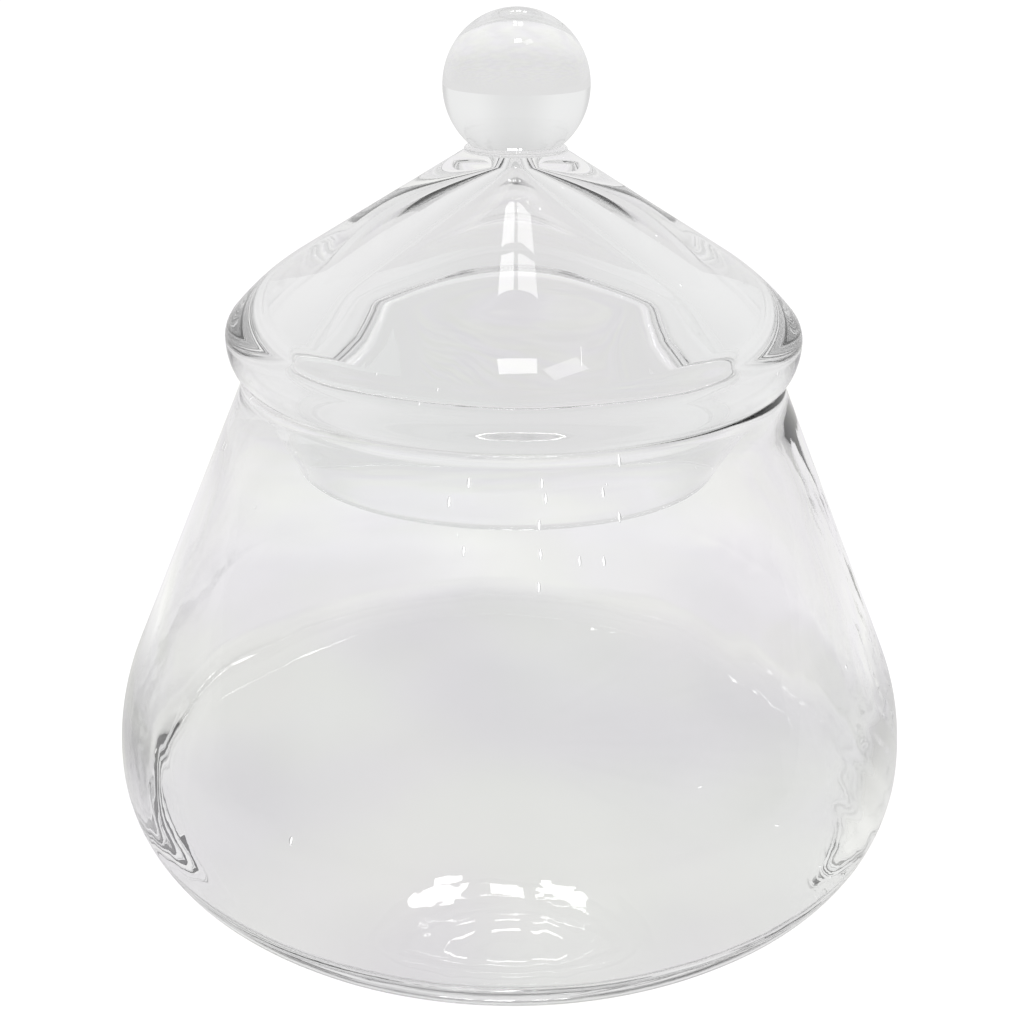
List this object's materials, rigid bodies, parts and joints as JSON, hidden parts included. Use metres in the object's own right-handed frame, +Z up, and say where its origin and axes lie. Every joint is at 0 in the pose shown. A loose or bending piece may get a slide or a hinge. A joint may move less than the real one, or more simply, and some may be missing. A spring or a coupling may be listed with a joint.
{
  "type": "apothecary jar",
  "caption": "Clear blown-glass apothecary jar: squat tapering body and a hollow cone lid with a ball knob, whose plug hangs in the mouth.",
  "frame": {"origin": "middle of the flat base, where the jar stands", "axes": "+Z up, along the axis that the jar and the lid are turned about"},
  "size_m": [0.1498, 0.1498, 0.1476],
  "materials": {
    "body_glass": "fire-polished clear glass",
    "lid_glass": "fire-polished clear glass",
    "knob_glass": "solid clear glass"
  },
  "bodies": {
    "jar": {"jar_body": "body_glass"},
    "lid": {"lid_dome": "lid_glass", "knob_collar": "knob_glass", "knob_ball": "knob_glass"}
  },
  "joints": [
    {"name": "lid_lift", "type": "slide", "parent": "jar", "child": "lid", "axis": [0, 0, 1], "range_m": [0, 0.12]}
  ]
}
